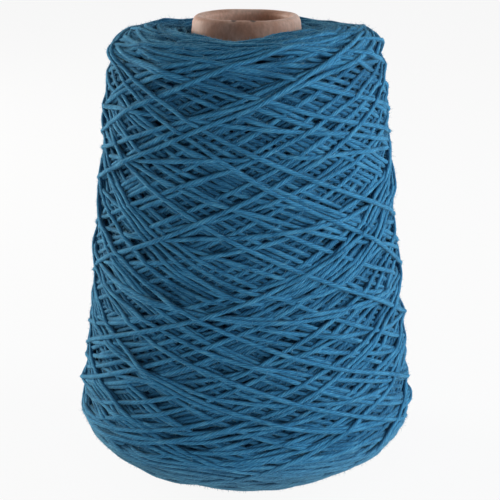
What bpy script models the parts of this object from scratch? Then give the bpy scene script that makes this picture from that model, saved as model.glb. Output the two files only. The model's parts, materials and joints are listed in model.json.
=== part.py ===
"""A cone of knitting yarn: a tapered paper cone, cross-wound with one strand of thick plied yarn.

The cone stands on its wide end, with +Z along its axis and its base ring on Z = 0. The wound yarn is
one strand, so it is modelled as the stretches in which it was wound on: four nested layers, then the
last strokes of the strand, each as a tube that lies on the package and hops over the strokes below it.
"""

import math

import bpy
from mathutils import Vector

# Paper cone
CONE_LENGTH = 0.170
NOSE_DIAMETER = 0.0384
HALF_TAPER = math.radians(5.95)
CONE_WALL = 0.0025
LIP_THICKNESS = 0.0041
LIP_DEPTH = 0.0045
BASE_EDGE_ROUND = 0.0006
NICK_DIAMETER = 0.0009
NICK_ANGLES = (math.radians(-104.5), math.radians(-82.5))

# Wound package
BASE_MARGIN = 0.0030
NOSE_MARGIN = 0.0066
YARN_THICKNESS = 0.0296
WAIST = 0.0009
LOWER_ROUND_HEIGHT = 0.0212
UPPER_ROUND_REACH = 0.0166
UPPER_ROUND_HEIGHT = 0.0087
TOP_FALL = 0.0015
LAYER_STEP = 0.0070
LAYERS = ("yarn_first_layer", "yarn_second_layer", "yarn_third_layer", "yarn_outer_layer")

# Last strokes of the strand
STRAND_DIAMETER = 0.0020
STROKES = 6
TURNS_PER_STROKE = 1.28
FIRST_ANGLE = math.radians(-150.0)
STROKE_LOW = 0.020
STROKE_HIGH = 0.0085
REVERSAL = 0.12
POINT_SPACING = 0.0062
HOP_REACH = 0.0090

CLEARANCE = 0.0003
SEGMENTS = 48


def arc_points(centre, radii, start, end, steps):
    """Points on an ellipse round (radius, height), from one angle to another."""
    found = []
    for i in range(steps + 1):
        angle = start + (end - start) * i / steps
        found.append((centre[0] + radii[0] * math.cos(angle), centre[1] + radii[1] * math.sin(angle)))
    return found


def cone_radius(height):
    """The paper cone's outer radius at a height."""
    return NOSE_DIAMETER / 2 + (CONE_LENGTH - height) * math.tan(HALF_TAPER)


def turned(name, profile, material, collection):
    """A closed ring turned round Z from (radius, height) points: up its outer side, down its inner."""
    mesh = bpy.data.meshes.new(name)
    verts = []
    for i in range(SEGMENTS):
        angle = 2 * math.pi * i / SEGMENTS
        verts += [(r * math.cos(angle), r * math.sin(angle), z) for r, z in profile]
    count = len(profile)
    faces = []
    for i in range(SEGMENTS):
        here = i * count
        there = (i + 1) % SEGMENTS * count
        for j in range(count):
            k = (j + 1) % count
            faces.append((here + j, there + j, there + k, here + k))
    mesh.from_pydata(verts, [], faces)
    mesh.validate()
    mesh.shade_smooth()
    mesh.materials.append(material)
    made = bpy.data.objects.new(name, mesh)
    collection.objects.link(made)
    return made


def principled(name, colour, roughness):
    material = bpy.data.materials.new(name)
    material.use_nodes = True
    shader = material.node_tree.nodes["Principled BSDF"]
    shader.inputs["Base Color"].default_value = (*colour, 1.0)
    shader.inputs["Roughness"].default_value = roughness
    shader.inputs["Metallic"].default_value = 0.0
    return material


def paper_cone(material, collection, cutters):
    """The cone: a straight tapered wall whose nose end is rolled inwards into a thicker round lip."""
    lip_radius = LIP_THICKNESS / 2
    lip_base = CONE_LENGTH - lip_radius
    lip_centre = cone_radius(lip_base) - lip_radius
    inner_foot = cone_radius(0) - CONE_WALL
    inner_top = CONE_LENGTH - LIP_DEPTH
    profile = [(cone_radius(0) - BASE_EDGE_ROUND, 0.0), (cone_radius(BASE_EDGE_ROUND), BASE_EDGE_ROUND)]
    profile += arc_points((lip_centre, lip_base), (lip_radius, lip_radius), 0, math.pi, 6)
    profile += [(cone_radius(inner_top) - CONE_WALL, inner_top - (LIP_THICKNESS - CONE_WALL))]
    profile += [(inner_foot, 0.0)]
    cone = turned("paper_cone", profile, material, collection)
    for number, angle in enumerate(NICK_ANGLES, 1):
        nick = nick_cutter(f"nick_{number}", angle, lip_centre - lip_radius, lip_base, cutters)
        cut = cone.modifiers.new(nick.name, "BOOLEAN")
        cut.operation = "DIFFERENCE"
        cut.solver = "EXACT"
        cut.object = nick
    return cone


def nick_cutter(name, angle, radius, height, collection):
    """A short six-sided pin that leaves a small nick in the inner edge of the lip."""
    mesh = bpy.data.meshes.new(name)
    outward = Vector((math.cos(angle), math.sin(angle), 0))
    across = Vector((-outward.y, outward.x, 0))
    middle = outward * radius + Vector((0, 0, height + LIP_THICKNESS / 4))
    half = LIP_THICKNESS / 4
    verts = []
    for end in (-1, 1):
        for i in range(6):
            turn = math.pi / 3 * i
            ring = across * math.cos(turn) + Vector((0, 0, math.sin(turn)))
            verts.append(middle + outward * half * end + ring * NICK_DIAMETER / 2)
    faces = [tuple(range(5, -1, -1)), tuple(range(6, 12))]
    faces += [(i, (i + 1) % 6, (i + 1) % 6 + 6, i + 6) for i in range(6)]
    mesh.from_pydata(verts, [], faces)
    cutter = bpy.data.objects.new(name, mesh)
    cutter.hide_render = True
    cutter.display_type = "WIRE"
    collection.objects.link(cutter)
    return cutter


def lower_contact():
    return BASE_MARGIN


def upper_contact():
    return CONE_LENGTH - NOSE_MARGIN


def side_start():
    """Height where the lower round end meets the side."""
    return lower_contact() + LOWER_ROUND_HEIGHT


def side_end():
    """Height where the side meets the upper round end."""
    return upper_contact() + TOP_FALL - UPPER_ROUND_HEIGHT


def side_radius(height):
    """The package's side: parallel to the cone, a little waisted half-way up."""
    share = (height - side_start()) / (side_end() - side_start())
    return cone_radius(height) + YARN_THICKNESS - WAIST * math.sin(math.pi * share)


def lower_end_height(radius):
    """The lower end of the package: a quarter of an ellipse as deep as the yarn is thick."""
    inner = cone_radius(side_start())
    across = min(max((radius - inner) / YARN_THICKNESS, 0.0), 1.0)
    return side_start() - LOWER_ROUND_HEIGHT * math.sqrt(1 - across * across)


def upper_end_height(radius):
    """The upper end: falls a little towards the nose and rounds over into the side."""
    outer = cone_radius(side_end()) + YARN_THICKNESS
    crest = outer - UPPER_ROUND_REACH
    if radius < crest:
        inner = cone_radius(upper_contact())
        return upper_contact() + TOP_FALL * (radius - inner) / (crest - inner)
    across = min((radius - crest) / UPPER_ROUND_REACH, 1.0)
    return side_end() + UPPER_ROUND_HEIGHT * math.sqrt(1 - across * across)


def meeting(offset, end_height, first_guess):
    """Where a line parallel to the cone, this far out from it, meets an end of the package."""
    height = first_guess
    for _ in range(30):
        height = end_height(cone_radius(height) + offset)
    return cone_radius(height) + offset, height


def end_run(inner, outer, end_height, steps):
    """Points along an end of the package, from one radius to another, closer together where it turns."""
    found = []
    for i in range(1, steps):
        radius = inner + (outer - inner) * math.sin(math.pi / 2 * i / steps)
        found.append((radius, end_height(radius)))
    return found


def inner_layer(name, number, material, collection):
    """A winding layer between two lines parallel to the cone, cut by the ends of the package."""
    inside = LAYER_STEP * number + CLEARANCE
    outside = LAYER_STEP * (number + 1)
    low_in = meeting(inside, lower_end_height, lower_contact())
    low_out = meeting(outside, lower_end_height, lower_contact())
    high_out = meeting(outside, upper_end_height, upper_contact())
    high_in = meeting(inside, upper_end_height, upper_contact())
    profile = [low_in]
    profile += end_run(low_in[0], low_out[0], lower_end_height, 2)
    profile += [low_out, high_out]
    profile += end_run(high_out[0], high_in[0], upper_end_height, 2)
    profile += [high_in]
    return turned(name, profile, material, collection)


def outer_outline():
    """The side of the package that shows, from the lower end round to the upper."""
    inner = cone_radius(side_start())
    lower = arc_points((inner, side_start()), (YARN_THICKNESS, LOWER_ROUND_HEIGHT), -math.pi / 2, 0, 12)
    side = []
    for i in range(1, 5):
        height = side_start() + (side_end() - side_start()) * i / 5
        side.append((side_radius(height), height))
    crest = cone_radius(side_end()) + YARN_THICKNESS - UPPER_ROUND_REACH
    upper = arc_points((crest, side_end()), (UPPER_ROUND_REACH, UPPER_ROUND_HEIGHT), 0, math.pi / 2, 7)
    return lower + side + upper


def outer_layer(name, number, material, collection):
    """The outermost layer, which carries the whole rounded outline of the package."""
    inside = LAYER_STEP * number + CLEARANCE
    low_in = meeting(inside, lower_end_height, lower_contact())
    high_in = meeting(inside, upper_end_height, upper_contact())
    shown = [p for p in outer_outline() if p[0] > cone_radius(p[1]) + inside + CLEARANCE]
    return turned(name, [low_in, *shown, high_in], material, collection)


def along_outline(outline):
    """The length of the outline up to each of its points."""
    lengths = [0.0]
    for a, b in zip(outline, outline[1:]):
        lengths.append(lengths[-1] + math.dist(a, b))
    return lengths


def outline_at(outline, lengths, length):
    """The point on the outline at a length along it, and the outward normal there."""
    i = max(j for j in range(len(lengths) - 1) if lengths[j] <= length or j == 0)
    share = (length - lengths[i]) / (lengths[i + 1] - lengths[i])
    a, b = Vector(outline[i]), Vector(outline[i + 1])
    along = (b - a).normalized()
    return a.lerp(b, share), Vector((along.y, -along.x))


def eased(share):
    """A stroke's travel, from 0 to 1, easing in and out where the strand turns back."""
    top_speed = 1 / (1 - REVERSAL)
    if share < REVERSAL:
        return top_speed * share * share / (2 * REVERSAL)
    if share > 1 - REVERSAL:
        return 1 - top_speed * (1 - share) ** 2 / (2 * REVERSAL)
    return top_speed * (share - REVERSAL / 2)


def stroke_places(number):
    """(point, outward normal) at even steps along one stroke. Odd strokes go up, even ones down."""
    outline = outer_outline()
    lengths = along_outline(outline)
    low, high = STROKE_LOW, lengths[-1] - STROKE_HIGH
    turn = 2 * math.pi * TURNS_PER_STROKE
    middle = cone_radius(CONE_LENGTH / 2) + YARN_THICKNESS
    steps = round(turn * middle / POINT_SPACING)
    trim = CLEARANCE / 2 / (turn * middle)
    found = []
    for i in range(steps + 1):
        share = trim + (1 - 2 * trim) * i / steps
        travel = eased(share) if number % 2 else 1 - eased(share)
        (radius, height), normal = outline_at(outline, lengths, low + (high - low) * travel)
        angle = FIRST_ANGLE + turn * (number - 1 + share)
        radial = Vector((math.cos(angle), math.sin(angle), 0))
        point = radial * radius + Vector((0, 0, height))
        found.append((point, radial * normal.x + Vector((0, 0, normal.y))))
    return found


def hop(distance):
    """How much of a full hop the strand makes at this distance from a strand below it."""
    full = STRAND_DIAMETER + 2 * CLEARANCE
    share = (HOP_REACH - distance) / (HOP_REACH - full)
    share = min(max(share, 0.0), 1.0)
    return share * share * (3 - 2 * share)


def laid_strokes():
    """The points of each stroke, lifted over the strokes laid before it."""
    pitch = STRAND_DIAMETER + 2 * CLEARANCE
    seat = STRAND_DIAMETER / 2 + CLEARANCE
    joined = round(2 * HOP_REACH / POINT_SPACING)
    below = []
    strokes = []
    for number in range(1, STROKES + 1):
        places = stroke_places(number)
        lifts = []
        for i, (point, _) in enumerate(places):
            near = below[:-joined] if i < joined else below
            rises = ((lift + pitch) * hop((point - other).length) for other, lift in near)
            lifts.append(max(rises, default=0.0))
        below += [(place[0], lift) for place, lift in zip(places, lifts)]
        strokes.append([p + n * (seat + lift) for (p, n), lift in zip(places, lifts)])
    return strokes


def strand(name, points, material, collection):
    """A tube along the points, closed at both ends."""
    curve = bpy.data.curves.new(name, "CURVE")
    curve.dimensions = "3D"
    curve.bevel_depth = STRAND_DIAMETER / 2
    curve.bevel_resolution = 2
    curve.use_fill_caps = True
    spline = curve.splines.new("POLY")
    spline.points.add(len(points) - 1)
    for place, point in zip(spline.points, points):
        place.co = (*point, 1.0)
    curve.materials.append(material)
    made = bpy.data.objects.new(name, curve)
    collection.objects.link(made)
    return made


def new_collection(name):
    made = bpy.data.collections.new(name)
    bpy.context.scene.collection.children.link(made)
    return made


def main():
    for old in list(bpy.data.objects):
        bpy.data.objects.remove(old)
    parts = new_collection("yarn_cone")
    cutters = new_collection("cutters")
    cutters.hide_render = True
    board = principled("kraft_board", (0.30, 0.19, 0.15), 0.75)
    yarn = principled("teal_yarn", (0.022, 0.105, 0.19), 0.9)
    paper_cone(board, parts, cutters)
    for number, name in enumerate(LAYERS[:-1]):
        inner_layer(name, number, yarn, parts)
    outer_layer(LAYERS[-1], len(LAYERS) - 1, yarn, parts)
    for number, points in enumerate(laid_strokes(), 1):
        strand(f"last_wrap_{number}", points, yarn, parts)


main()
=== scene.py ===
"""A cone of teal knitting yarn: the looks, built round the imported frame.

The yarn is wound stroke by stroke, the way a winder lays it: each stroke is let down onto those below it,
shifts sideways into the hollows, is pulled taut over what it crosses and then becomes part of the bed for
the next stroke. What shows of each stroke is made a plied strand.
"""

import json
import math
from functools import partialmethod

import bpy
import numpy as np
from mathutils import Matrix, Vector

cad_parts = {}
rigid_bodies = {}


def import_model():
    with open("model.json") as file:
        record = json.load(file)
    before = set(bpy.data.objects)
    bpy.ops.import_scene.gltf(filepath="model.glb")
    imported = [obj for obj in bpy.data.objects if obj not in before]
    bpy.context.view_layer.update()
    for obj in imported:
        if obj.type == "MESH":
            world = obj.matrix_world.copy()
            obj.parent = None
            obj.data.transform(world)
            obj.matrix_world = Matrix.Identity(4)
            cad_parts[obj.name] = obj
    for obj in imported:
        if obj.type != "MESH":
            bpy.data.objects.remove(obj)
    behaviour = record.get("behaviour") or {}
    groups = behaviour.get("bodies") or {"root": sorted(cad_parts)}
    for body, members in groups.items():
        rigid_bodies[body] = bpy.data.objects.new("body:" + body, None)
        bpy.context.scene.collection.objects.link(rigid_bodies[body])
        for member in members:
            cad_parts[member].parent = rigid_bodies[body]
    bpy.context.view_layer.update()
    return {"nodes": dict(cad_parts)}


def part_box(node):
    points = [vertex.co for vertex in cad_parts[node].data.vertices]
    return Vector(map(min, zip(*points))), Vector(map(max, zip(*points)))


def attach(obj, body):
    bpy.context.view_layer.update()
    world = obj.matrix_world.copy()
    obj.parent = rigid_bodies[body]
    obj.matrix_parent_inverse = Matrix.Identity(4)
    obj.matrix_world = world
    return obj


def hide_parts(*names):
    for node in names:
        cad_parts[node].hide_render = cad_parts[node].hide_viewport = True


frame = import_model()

bl_info = {
    "name": "Cone of Knitting Yarn",
    "version": (1, 0, 0),
    "blender": (4, 5, 0),
    "location": "View3D > Sidebar > Yarn Cone",
    "description": "A paper cone cross-wound with one plied strand of yarn",
    "category": "Object",
}

BODY = "root"
LAYERS = ("yarn_first_layer", "yarn_second_layer", "yarn_third_layer", "yarn_outer_layer")
LAST_WRAPS = tuple(sorted(name for name in frame["nodes"] if name.startswith("last_wrap_")))


def node_points(name):
    """(radius, height) of every corner of a turned CAD node."""
    corners = np.array([v.co for v in frame["nodes"][name].data.vertices])
    return np.column_stack([np.hypot(corners[:, 0], corners[:, 1]), corners[:, 2]])


def outermost(points, lowest, highest):
    """The corner with the largest radius between two heights."""
    inside = points[(points[:, 1] >= lowest) & (points[:, 1] <= highest)]
    return inside[inside[:, 0].argmax()]


CONE_POINTS = node_points("paper_cone")
CONE_LENGTH = float(CONE_POINTS[:, 1].max())
CONE_FOOT = outermost(CONE_POINTS, 0, CONE_LENGTH / 2)
CONE_NECK = outermost(CONE_POINTS, CONE_LENGTH * 0.98, CONE_LENGTH * 0.99)
CONE_SLOPE = float((CONE_FOOT[0] - CONE_NECK[0]) / (CONE_NECK[1] - CONE_FOOT[1]))
PACKAGE_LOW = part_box("yarn_first_layer")[0].z
PACKAGE_HIGH = float(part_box("yarn_first_layer")[1].z)
PACKAGE_SHOULDER = outermost(node_points("yarn_outer_layer"), 0, CONE_LENGTH)


def cone_radius(height):
    """The paper cone's outer radius at a height."""
    return CONE_FOOT[0] + (CONE_FOOT[1] - height) * CONE_SLOPE


YARN_THICKNESS = float(PACKAGE_SHOULDER[0] - cone_radius(PACKAGE_SHOULDER[1]))


def number(description, default, **more):
    return bpy.props.FloatProperty(description=description, default=default, **more)


def length(description, default):
    return number(description, default, unit="LENGTH", precision=5)


def angle(description, degrees):
    return number(description, math.radians(degrees), subtype="ANGLE")


def count(description, default, least=1):
    return bpy.props.IntProperty(description=description, default=default, min=least)


def colour(description, default):
    more = {"size": 3, "subtype": "COLOR", "min": 0, "max": 1}
    return bpy.props.FloatVectorProperty(description=description, default=default, **more)


def titled(group):
    """Names each property of a group after its identifier."""
    for name, held in group.__annotations__.items():
        held.keywords["name"] = name.replace("_", " ").title()
    return group


@titled
class PackageSizes(bpy.types.PropertyGroup):
    """The outline of the wound package."""

    lower_round: length("Height of the rounded lower end", 0.0212)
    upper_reach: length("How far in the upper round reaches", 0.0166)
    upper_round: length("Height of the upper round", 0.0098)
    top_fall: length("How far the upper end falls towards the cone", 0.0015)
    waist: length("How far the side pulls in half-way up", 0.0009)
    core_depth: length("How deep the solid core lies below the outline", 0.0036)


@titled
class WindingSettings(bpy.types.PropertyGroup):
    """How the winder lays the strand."""

    strokes: count("Strokes laid before the last wraps", 430)
    turns: number("Turns of the cone in one stroke", 1.28678, precision=5)
    reversal: number("Share of a stroke in which it turns back", 0.30)
    stroke_low: length("Where the strokes come to turn, along the outline", 0.034)
    stroke_high: length("Distance short of the upper end's crest", 0.0105)
    turn_spread: length("How unevenly the strokes turn back", 0.0055)
    slips: number("Share of strokes that turn back early", 0.04)
    longest_slip: length("How early a stroke may turn back", 0.060)
    wrap_turns: number("The same in a last wrap", 1.28)
    first_angle: angle("Where the first of the last wraps starts", -150)
    wrap_reversal: number("The same share of a last wrap", 0.12)
    wrap_low: length("Where the last wraps turn", 0.020)
    wrap_high: length("Distance short of the upper end's crest", 0.0085)
    short_pairs: count("Pairs of short strokes, which hang as arcs", 4, 0)
    short_turns: number("The same in a short stroke", 0.511, precision=3)
    short_reversal: number("The same share of a short stroke", 0.16)
    short_low: length("Where the short strokes turn", 0.097)
    short_angle: angle("Where the first short stroke turns back", -96)
    after_short: count("Strokes from the short ones to the last wraps", 6, 0)
    wander: angle("How unevenly the strokes follow each other round", 0.22)
    level_cells: count("Cells round each place over which it evens out", 12)
    relief: number("Share of the strands' ups and downs that is kept", 0.80)
    end_relief: number("The same share on the rounded ends", 0.36)
    fill: number("Share of the depth kept below the level", 0.68)
    end_sink: length("How much lower the upper end lies", 0.0006)
    sink: length("How far the strands lie below the outline", 0.0014)
    press: number("How hard later strokes press a strand down, per metre", 45.0)
    stiffness: number("How much a strand resists moving sideways", 8.0)
    seed: count("Start of the random draws", 3, 0)


@titled
class StrandSettings(bpy.types.PropertyGroup):
    """The plied strand."""

    diameter: length("Strand diameter", 0.00175)
    squeeze: number("Height of a crossing against a round strand's", 0.58)
    unevenness: number("How much thicker and thinner the strand gets", 0.07)
    sides: count("Faces round the strand", 7, 3)
    ring_spacing: length("Distance between the rings of faces", 0.0023)
    plies: count("Plies twisted together", 6)
    twist_length: length("Length of one turn of the plies", 0.0125)


@titled
class FuzzSettings(bpy.types.PropertyGroup):
    """Loose fibres that stand off the strands."""

    density: number("Long bent fibres on a square metre of strand", 65000.0)
    down: number("Short straight fibres on a square metre of strand", 520000.0)
    depth: length("How deep below the outline fibres still grow", 0.0024)
    length: length("Length of a long fibre", 0.0024)
    thickness: length("Thickness of a fibre", 0.00006)
    columns: number("Fibres side by side on the map", 200.0)
    seed: count("Start of the random draws", 5, 0)


@titled
class BoardSizes(bpy.types.PropertyGroup):
    """The paper cone's wall and rolled lip."""

    wall: length("Thickness of the board", 0.0025)
    lip_thickness: length("Thickness of the rolled lip", 0.0040)
    turn_in: length("How far the rolled edge reaches down the bore", 0.0085)
    flare: length("How much the rolled edge opens on its way down", 0.0006)
    unevenness: length("How much the lip waves", 0.00008)
    first_nick: angle("Where the first small nick in the lip's inner edge is", -104.5)
    second_nick: angle("Where the second small nick is", -82.5)


@titled
class YarnFinish(bpy.types.PropertyGroup):
    """Colours of the yarn."""

    light: colour("Colour of the raised fibres", (0.060, 0.270, 0.480))
    hair: colour("Colour of the loose fibres against the light", (0.26, 0.50, 0.64))
    # Painted sheen of the down, mixed in towards the lower end
    haze: colour("Colour of the down, most of it round the lower end", (0.30, 0.50, 0.53))
    pale: colour("Colour of the palest fibres", (0.130, 0.370, 0.520))
    main: colour("Colour of the plies", (0.033, 0.185, 0.360))
    # The darkest fibres, and painted shade: the ply grooves and the packed core are painted towards it
    deep: colour("Colour in the grooves", (0.010, 0.080, 0.185))


@titled
class BoardFinish(bpy.types.PropertyGroup):
    """Colours of the paper cone."""

    outside: colour("Colour of the board", (0.530, 0.318, 0.245))
    # Partly worn board, partly a painted highlight along the lip's edge
    worn: colour("Colour of the worn lip", (0.80, 0.55, 0.45))
    inside: colour("Colour of the bore", (0.68, 0.43, 0.335))


@titled
class StageSettings(bpy.types.PropertyGroup):
    """Floor, lamps and camera."""

    camera_distance: length("How far in front of the axis the camera stands", 0.4683)
    camera_height: length("Height of the camera", 0.2283)
    camera_pitch: angle("How far the camera looks down", 17.39)
    camera_lens: number("Focal length in millimetres", 93.3)
    camera_shift: number("Sideways shift of the picture", 0.007)
    key_power: number("Power of the large lamp on the right", 9.2)
    rim_power: number("Power of the lamp behind on the left", 12.8)
    top_power: number("Power of the lamp overhead", 1.6)
    front_power: number("Power of the low lamp in front", 0.8)
    sky: number("Strength of the even light from all sides", 0.06)
    floor: colour("Colour of the floor", (0.91, 0.915, 0.92))


def settings():
    return bpy.context.scene.yarn_cone


# The outline of the package


def arc(centre, radii, start, end, steps):
    """Points (radius, height) on an ellipse, from one angle to another."""
    turn = np.linspace(start, end, steps + 1)
    return np.column_stack([centre[0] + radii[0] * np.cos(turn), centre[1] + radii[1] * np.sin(turn)])


def package_outline():
    """(radius, height) from the cone's foot round the lower end, up the side and over the upper end."""
    sizes = settings().package
    side_start = PACKAGE_LOW + sizes.lower_round
    side_end = PACKAGE_HIGH + sizes.top_fall - sizes.upper_round
    foot = (cone_radius(side_start), side_start)
    lower = arc(foot, (YARN_THICKNESS, sizes.lower_round), -math.pi / 2, 0, 48)
    share = np.arange(1, 60) / 60
    height = side_start + (side_end - side_start) * share
    side = cone_radius(height) + YARN_THICKNESS - sizes.waist * np.sin(math.pi * share)
    crest = cone_radius(side_end) + YARN_THICKNESS - sizes.upper_reach
    upper = arc((crest, side_end), (sizes.upper_reach, sizes.upper_round), 0, math.pi / 2, 32)
    inner = cone_radius(PACKAGE_HIGH)
    share = np.arange(1, 17) / 16
    face = np.column_stack([crest + (inner - crest) * share, PACKAGE_HIGH + sizes.top_fall * (1 - share)])
    points = np.concatenate([lower, np.column_stack([side, height]), upper, face])
    return points, len(points) - len(face)


# The bed is kept in cells: their length along the outline, and how many go round.
CELL = 0.0005
COLUMNS = 800


class Outline:
    """The package's outline, read by the distance along it."""

    def __init__(self):
        points, to_crest = package_outline()
        steps = np.hypot(*np.diff(points, axis=0).T)
        along = np.concatenate([[0], np.cumsum(steps)])
        self.crest = along[to_crest - 1]
        self.places = np.arange(int(along[-1] / CELL) + 1) * CELL
        self.radius = np.interp(self.places, along, points[:, 0])
        self.height = np.interp(self.places, along, points[:, 1])
        run = np.column_stack([np.gradient(self.radius), np.gradient(self.height)])
        run /= np.linalg.norm(run, axis=1)[:, None]
        out = np.column_stack([smooth(run[:, 1], 9), smooth(-run[:, 0], 9)])
        self.out = out / np.linalg.norm(out, axis=1)[:, None]
        self.bend = (np.gradient(self.out, CELL, axis=0) * run).sum(axis=1)

    def read(self, values, along):
        return np.interp(along, self.places, values)


def smooth(values, width):
    """A running average with soft edges, over an odd number of samples."""
    window = np.hanning((int(width) | 1) + 2)[1:-1]
    padded = np.pad(values, len(window) // 2, mode="edge")
    return np.convolve(padded, window / window.sum(), mode="valid")


def running_mean(values, width, axis):
    """The mean over so many cells in a row, along an axis. The result is shorter by one less than that."""
    sums = np.moveaxis(np.cumsum(values, axis=axis), axis, 0)
    means = np.concatenate([sums[width - 1 : width], sums[width:] - sums[:-width]]) / width
    return np.moveaxis(means, 0, axis)


def half_turn(angle):
    """The same direction, as an angle of no more than half a turn either way."""
    return np.remainder(angle + math.pi, 2 * math.pi) - math.pi


def eased(share, reversal):
    """A stroke's travel, from 0 to 1, easing in and out where the strand turns back."""
    top_speed = 1 / (1 - reversal)
    start = top_speed * share**2 / (2 * reversal)
    end = 1 - top_speed * (1 - share) ** 2 / (2 * reversal)
    middle = top_speed * (share - reversal / 2)
    return np.where(share < reversal, start, np.where(share > 1 - reversal, end, middle))


# Winding


# Strokes that turn back early among those near the surface: (angle in degrees, distance along the outline)
EARLY_LOW_TURNS = ((-68, 0.091), (-131, 0.066), (-120, 0.049), (20, 0.075), (110, 0.095), (165, 0.060))
EARLY_HIGH_TURNS = ((-114, 0.158), (-75, 0.146), (40, 0.125), (130, 0.150))

# Where the strand heaps up round the nose: (angle and half width in degrees, height)
TOP_HEAPS = ((-40, 45, 0.0034), (-152, 48, 0.0022))

# How deep under the others a strand still shows, and how deep it lies where its painted shade is darkest
SHOWS_THROUGH = 0.0014
SHADE_DEPTH = 0.0015

# Rings of faces at each end of a stretch that dip under what crosses it
TUCKED_RINGS = 4

# Loose fibres grow this far from the middle, as a share of the cone's length, even away from the outline
BARE_HALF = 0.34


def short_strokes(winding):
    """The numbers of the short strokes. The first of them goes down."""
    first = winding.strokes - winding.after_short - 2 * winding.short_pairs
    first -= 1 - first % 2
    return range(first, first + 2 * winding.short_pairs)


# The share of the strokes over which their turning points move out to where they end up
GROWING = 0.75


def plan_turns(outline, rng):
    """(angle, distance along the outline) of every turning point, from the first stroke to the last."""
    winding = settings().winding
    last = len(LAST_WRAPS)
    total = winding.strokes + last
    ends = outline.places[-1]
    places = np.zeros(total + 1)
    for k in range(total + 1):
        late = min(k / total / GROWING, 1.0)
        low, high = (0.0035, winding.stroke_low), (ends - 0.0015, outline.crest - winding.stroke_high)
        start, end = high if k % 2 else low
        spread = winding.turn_spread if late == 1 else 0.0015
        places[k] = start + (end - start) * late + rng.normal(0, spread)
        if k > total / 2 and rng.random() < winding.slips:
            slip = rng.uniform(0.010, winding.longest_slip)
            places[k] += -slip if k % 2 else slip
    turns = np.full(total, winding.turns)
    turns += rng.normal(0, winding.wander / (2 * math.pi), total)
    turns[-last:] = winding.wrap_turns
    short = short_strokes(winding)
    turns[short.start : short.stop] = winding.short_turns
    angles = 2 * math.pi * np.concatenate([[0], np.cumsum(turns)])
    angles += winding.first_angle - angles[-1 - last]
    angles[: short.stop + 1] += math.remainder(winding.short_angle - angles[short.start + 1], 2 * math.pi)
    for odd, early in ((0, EARLY_LOW_TURNS), (1, EARLY_HIGH_TURNS)):
        for turn, place in early:
            near = [k for k in range(short.start - 34, short.start) if k % 2 == odd]
            apart = [abs(math.remainder(angles[k] - math.radians(turn), 2 * math.pi)) for k in near]
            places[near[int(np.argmin(apart))]] = place
    lows = slice(short.start + 1, short.stop, 2)
    places[lows] = winding.short_low + rng.normal(0, 0.0012, len(places[lows]))
    places = np.clip(places, 0.0015, ends - 0.0012)
    for k in range(total - last, total + 1):
        places[k] = outline.crest - winding.wrap_high if k % 2 else winding.wrap_low
    return angles, places


# A stroke's samples are about this far apart, on a package of about this radius.
SAMPLE_SPACING = 0.0008
MEAN_RADIUS = 0.055


def stroke_route(angles, places, reversal):
    """(angle, distance along the outline) at even steps along one stroke."""
    steps = int(MEAN_RADIUS * abs(angles[1] - angles[0]) / SAMPLE_SPACING)
    share = np.linspace(0, 1, steps + 1)
    along = places[0] + (places[1] - places[0]) * eased(share, reversal)
    return angles[0] + (angles[1] - angles[0]) * share, along


class Bed:
    """The height of the wound yarn over the starting surface, in cells round and along the package."""

    def __init__(self, outline):
        self.outline = outline
        self.height = np.zeros((len(outline.places), COLUMNS))
        self.level = np.zeros(self.height.shape)
        self.cell_angle = 2 * math.pi / COLUMNS
        strand = settings().strand
        self.radius, self.squeeze = strand.diameter / 2, strand.squeeze

    def cells_near(self, angle, along):
        """The rows and columns of the cells under each sample, and how high a strand stands over them."""
        radius = self.outline.read(self.outline.radius, along)[:, None, None]
        reach = int(self.radius / CELL) + 1
        wide = int(self.radius / (self.outline.radius.min() * self.cell_angle)) + 1
        rows = np.round(along / CELL).astype(int)[:, None, None] + np.arange(-reach, reach + 1)[:, None]
        columns = np.round(angle / self.cell_angle).astype(int)[:, None, None] + np.arange(-wide, wide + 1)
        across = (columns * self.cell_angle - angle[:, None, None]) * radius
        up = rows * CELL - along[:, None, None]
        left = self.radius**2 - across**2 - up**2
        inside = (left > 0) & (rows >= 0) & (rows < len(self.height))
        rows = np.clip(rows, 0, len(self.height) - 1) + 0 * columns
        return rows, columns % COLUMNS + 0 * rows, self.squeeze * np.sqrt(np.maximum(left, 0)), inside

    def support(self, angle, along):
        """How high the strand's centre has to be over the mean level to rest on what lies below."""
        rows, columns, stand, inside = self.cells_near(angle, along)
        height = self.height[rows, columns] - self.level[rows, columns]
        return np.where(inside, height + stand, -1).max(axis=(1, 2))

    def add(self, angle, along, height):
        rows, columns, stand, inside = self.cells_near(angle, along)
        top = height[:, None, None] + stand
        np.maximum.at(self.height, (rows[inside], columns[inside]), top[inside])

    def measure_level(self):
        """The mean height round each cell. A soft package evens out, so this counts as its ground."""
        half = settings().winding.level_cells
        level = self.height
        for _ in range(2):
            padded = np.pad(level, ((half, half), (0, 0)), mode="edge")
            level = running_mean(padded, 2 * half + 1, 0)
            padded = np.pad(level, ((0, 0), (half, half)), mode="wrap")
            level = running_mean(padded, 2 * half + 1, 1)
        self.level = level

    def level_at(self, angle, along):
        rows = np.clip(np.round(along / CELL).astype(int), 0, len(self.level) - 1)
        return self.level[rows, np.round(angle / self.cell_angle).astype(int) % COLUMNS]


def run_of(outline, angle, along):
    """The strand's direction at each sample (round, along), and its length up to each sample."""
    radius = outline.read(outline.radius, along)
    run = np.column_stack([np.gradient(angle) * radius, np.gradient(along)])
    steps = np.hypot(np.diff(angle) * radius[1:], np.diff(along))
    return run / np.linalg.norm(run, axis=1)[:, None], np.concatenate([[0], np.cumsum(steps)]), radius


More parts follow.
